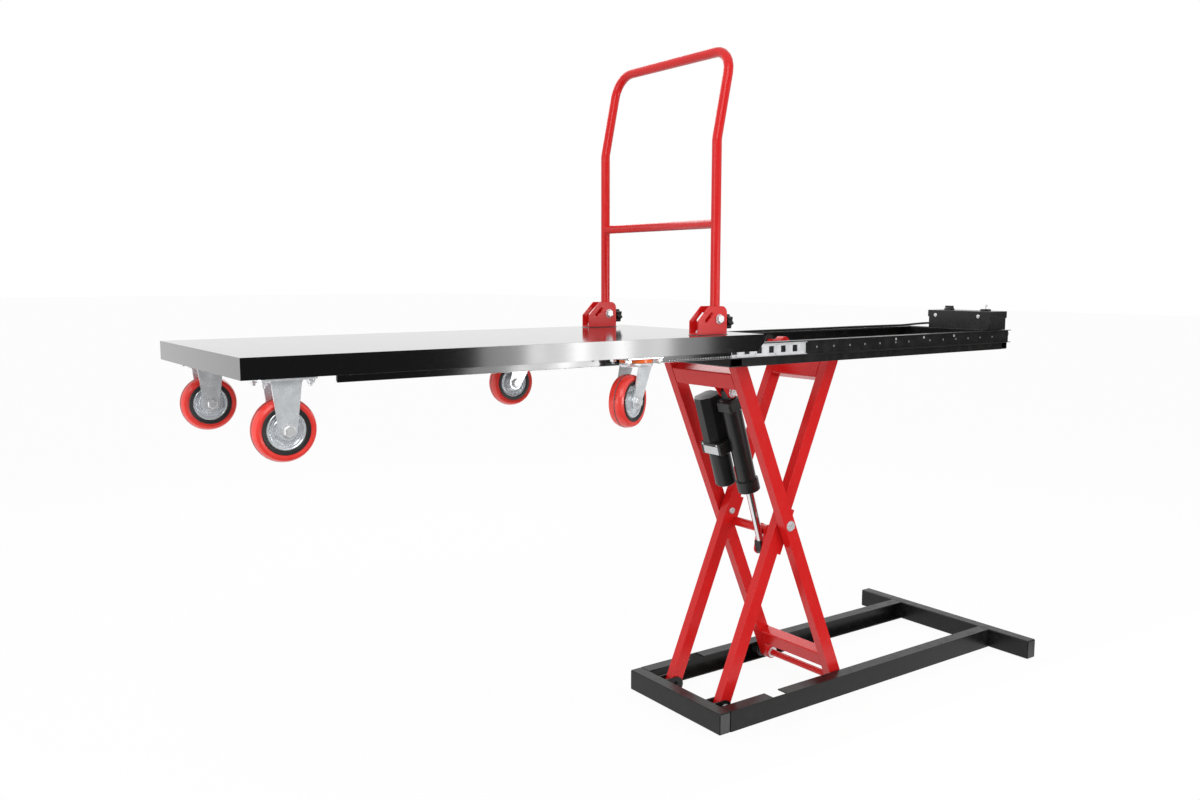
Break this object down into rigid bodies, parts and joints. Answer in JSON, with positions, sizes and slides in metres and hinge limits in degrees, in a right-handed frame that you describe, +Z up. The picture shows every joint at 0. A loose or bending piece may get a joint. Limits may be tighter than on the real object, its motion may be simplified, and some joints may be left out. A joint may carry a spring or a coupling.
{
  "type": "electric scissor lift trolley",
  "caption": "Battery trolley with an electric scissor lift on a T base, an upper rail frame and a sliding load deck on four casters with a folding red handle.",
  "frame": {"origin": "middle of the bounding box's footprint, on the floor under the base", "axes": "+X from the load deck towards the push handle, +Y towards the far side, +Z up"},
  "size_m": [2.616, 0.69, 1.7982],
  "materials": {
    "frame_black": "satin black paint",
    "scissor_red": "gloss red paint",
    "bolt_zinc": "bright zinc plate",
    "roller_black": "dark steel",
    "actuator_black": "satin black anodised and painted",
    "rod_chrome": "polished",
    "box_black": "satin black paint",
    "knob_plastic": "moulded black",
    "lever_chrome": "polished",
    "cable_black": "matt sheath",
    "slide_zinc": "zinc plate",
    "deck_black": "gloss black paint",
    "handle_red": "gloss red paint",
    "fork_zinc": "bright zinc plate",
    "wheel_pu": "cast polyurethane on a metal core"
  },
  "bodies": {
    "base": {"base_front_tube": "frame_black", "base_rail_near": "frame_black", "base_rail_far": "frame_black", "base_rear_tube": "frame_black"},
    "inner_frame": {"inner_leg_near": "scissor_red", "inner_leg_far": "scissor_red", "inner_top_beam": "scissor_red", "inner_torque_tube": "scissor_red", "inner_top_axle": "scissor_red", "rod_end_bolt": "bolt_zinc"},
    "outer_frame": {"outer_leg_near": "scissor_red", "outer_leg_far": "scissor_red", "outer_top_beam": "scissor_red", "outer_bottom_beam": "scissor_red", "outer_bottom_axle": "scissor_red", "centre_bolt_near": "bolt_zinc", "centre_bolt_far": "bolt_zinc"},
    "base_rollers": {"base_roller_near": "roller_black", "base_roller_far": "roller_black"},
    "upper_rollers": {"upper_roller_near": "roller_black", "upper_roller_far": "roller_black"},
    "actuator_rod_group": {"rod_end": "actuator_black", "actuator_rod": "rod_chrome"},
    "actuator_body_group": {"actuator_tube": "actuator_black", "gearbox_cover": "actuator_black", "gear_housing": "actuator_black", "actuator_motor": "actuator_black"},
    "upper_frame": {"upper_front_tube": "frame_black", "upper_rail_near": "frame_black", "upper_rail_far": "frame_black", "upper_rear_tube": "frame_black", "push_handle": "frame_black", "slide_outer_near": "frame_black", "slide_outer_far": "frame_black", "control_box": "box_black", "control_box_lid": "box_black", "control_cable": "cable_black"},
    "slide_middles": {"slide_middle_near": "slide_zinc", "slide_middle_far": "slide_zinc"},
    "deck": {"deck_tray": "deck_black", "deck_rail_near": "deck_black", "deck_rail_far": "deck_black", "handle_bracket_near": "handle_red", "handle_bracket_far": "handle_red", "rigid_fork_near": "fork_zinc", "rigid_fork_far": "fork_zinc", "swivel_plate_near": "fork_zinc", "swivel_plate_far": "fork_zinc"},
    "folding_handle_group": {"folding_handle": "handle_red"},
    "star_knob_near_group": {"star_knob_near": "knob_plastic"},
    "star_knob_far_group": {"star_knob_far": "knob_plastic"},
    "power_knob_group": {"power_knob": "knob_plastic"},
    "toggle_lever_group": {"toggle_lever": "lever_chrome"},
    "rigid_wheel_near_group": {"rigid_wheel_near": "wheel_pu"},
    "swivel_fork_near_group": {"swivel_fork_near": "fork_zinc"},
    "swivel_wheel_near_group": {"swivel_wheel_near": "wheel_pu"},
    "rigid_wheel_far_group": {"rigid_wheel_far": "wheel_pu"},
    "swivel_fork_far_group": {"swivel_fork_far": "fork_zinc"},
    "swivel_wheel_far_group": {"swivel_wheel_far": "wheel_pu"}
  },
  "joints": [
    {"name": "scissor_fold", "type": "hinge", "parent": "base", "child": "inner_frame", "pos_m": [0.042, 0, 0.03], "axis": [0, 1, 0], "range_deg": [0, 62.25]},
    {"name": "scissor_crossing", "type": "hinge", "parent": "inner_frame", "child": "outer_frame", "pos_m": [0.254, 0, 0.5275], "axis": [0, 1, 0], "range_deg": [-124.53, 0]},
    {"name": "platform_level", "type": "hinge", "parent": "outer_frame", "child": "upper_frame", "pos_m": [0.042, 0, 1.025], "axis": [0, 1, 0], "range_deg": [0, 62.26]},
    {"name": "base_roller_spin", "type": "hinge", "parent": "outer_frame", "child": "base_rollers", "pos_m": [0.466, 0, 0.03], "axis": [0, 1, 0], "continuous": true},
    {"name": "upper_roller_spin", "type": "hinge", "parent": "inner_frame", "child": "upper_rollers", "pos_m": [0.466, 0, 1.025], "axis": [0, 1, 0], "continuous": true},
    {"name": "actuator_swing", "type": "hinge", "parent": "inner_frame", "child": "actuator_rod_group", "pos_m": [0.26417, -0.032, 0.43403], "axis": [0, 1, 0], "range_deg": [-116.33, 0]},
    {"name": "actuator_stroke", "type": "slide", "parent": "actuator_rod_group", "child": "actuator_body_group", "axis": [0.2928, 0, -0.9562], "range_m": [0, 0.15593]},
    {"name": "slide_middle_travel", "type": "slide", "parent": "upper_frame", "child": "slide_middles", "axis": [1, 0, 0], "range_m": [0, 0.8502]},
    {"name": "deck_slide", "type": "slide", "parent": "upper_frame", "child": "deck", "axis": [1, 0, 0], "range_m": [0, 1.08]},
    {"name": "folding_handle_hinge", "type": "hinge", "parent": "deck", "child": "folding_handle_group", "pos_m": [-0.112, 0, 1.125], "axis": [0, -1, 0], "range_deg": [0, 90]},
    {"name": "star_knob_near_turn", "type": "hinge", "parent": "deck", "child": "star_knob_near_group", "pos_m": [-0.087, -0.235, 1.117], "axis": [1, 0, 0], "range_deg": [0, 360]},
    {"name": "star_knob_far_turn", "type": "hinge", "parent": "deck", "child": "star_knob_far_group", "pos_m": [-0.087, 0.235, 1.117], "axis": [1, 0, 0], "range_deg": [0, 360]},
    {"name": "rigid_wheel_near_spin", "type": "hinge", "parent": "deck", "child": "rigid_wheel_near_group", "pos_m": [-1.218, -0.258, 0.9425], "axis": [0, 1, 0], "continuous": true},
    {"name": "rigid_wheel_far_spin", "type": "hinge", "parent": "deck", "child": "rigid_wheel_far_group", "pos_m": [-1.218, 0.258, 0.9425], "axis": [0, 1, 0], "continuous": true},
    {"name": "swivel_near_turn", "type": "hinge", "parent": "deck", "child": "swivel_fork_near_group", "pos_m": [-0.376, -0.258, 0.9425], "axis": [0, 0, 1], "continuous": true},
    {"name": "swivel_wheel_near_spin", "type": "hinge", "parent": "swivel_fork_near_group", "child": "swivel_wheel_near_group", "pos_m": [-0.41098, -0.27285, 0.9425], "axis": [-0.3907, 0.9205, 0], "continuous": true},
    {"name": "swivel_far_turn", "type": "hinge", "parent": "deck", "child": "swivel_fork_far_group", "pos_m": [-0.376, 0.258, 0.9425], "axis": [0, 0, 1], "continuous": true},
    {"name": "swivel_wheel_far_spin", "type": "hinge", "parent": "swivel_fork_far_group", "child": "swivel_wheel_far_group", "pos_m": [-0.414, 0.258, 0.9425], "axis": [0, 1, 0], "continuous": true},
    {"name": "power_knob_turn", "type": "hinge", "parent": "upper_frame", "child": "power_knob_group", "pos_m": [1.1485, 0.005, 1.1156], "axis": [0, 0, 1], "range_deg": [0, 90]},
    {"name": "toggle_tilt", "type": "hinge", "parent": "upper_frame", "child": "toggle_lever_group", "pos_m": [1.1485, -0.135, 1.1189], "axis": [0, -1, 0], "range_deg": [0, 24]}
  ],
  "couplings": [
    {"joint": "scissor_crossing", "follows": "scissor_fold", "ratio": -2},
    {"joint": "platform_level", "follows": "scissor_fold", "ratio": 1},
    {"joint": "actuator_swing", "follows": "scissor_fold", "ratio": -1.8684},
    {"joint": "actuator_stroke", "follows": "scissor_fold", "m_per_rad": 0.14333},
    {"joint": "slide_middle_travel", "follows": "deck_slide", "ratio": 0.78704}
  ]
}
